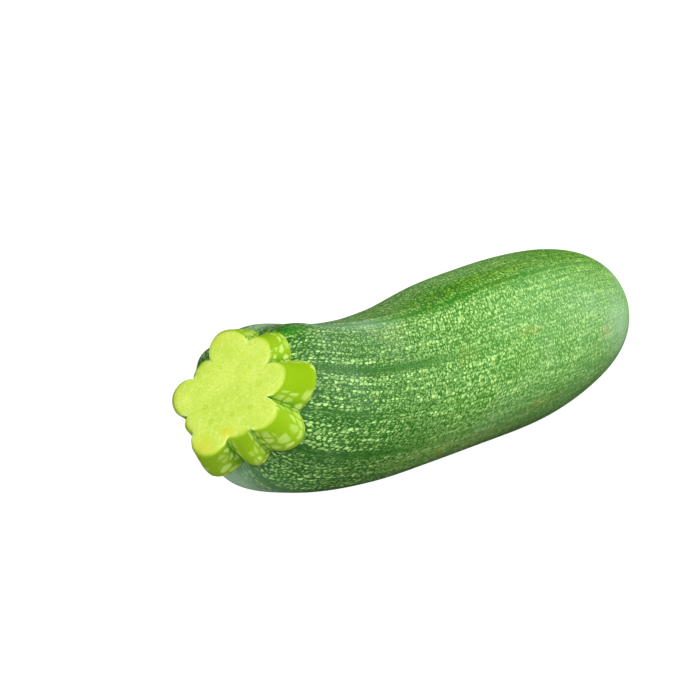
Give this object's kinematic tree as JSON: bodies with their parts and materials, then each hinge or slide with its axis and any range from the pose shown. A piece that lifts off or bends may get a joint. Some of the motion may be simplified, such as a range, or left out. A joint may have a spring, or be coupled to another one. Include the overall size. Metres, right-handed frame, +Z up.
{
  "type": "courgette",
  "caption": "Green courgette as picked, gently bent and softly ridged, with a cut lobed stem stub at one end and a blunt blossom end, lying on its belly.",
  "frame": {"origin": "on the ground, under the middle of the whole courgette's box", "axes": "+X from the stem to the blossom end, +Y to the back as it lies, +Z up"},
  "size_m": [0.193, 0.0532, 0.0505],
  "materials": {
    "skin": "waxy green skin with rows of pale flecks, satin sheen",
    "stem": "fresh cut face, moist and pale yellow-green, over mottled green lobes"
  },
  "bodies": {
    "root": {"fruit": "skin", "stem": "stem"}
  },
  "joints": []
}
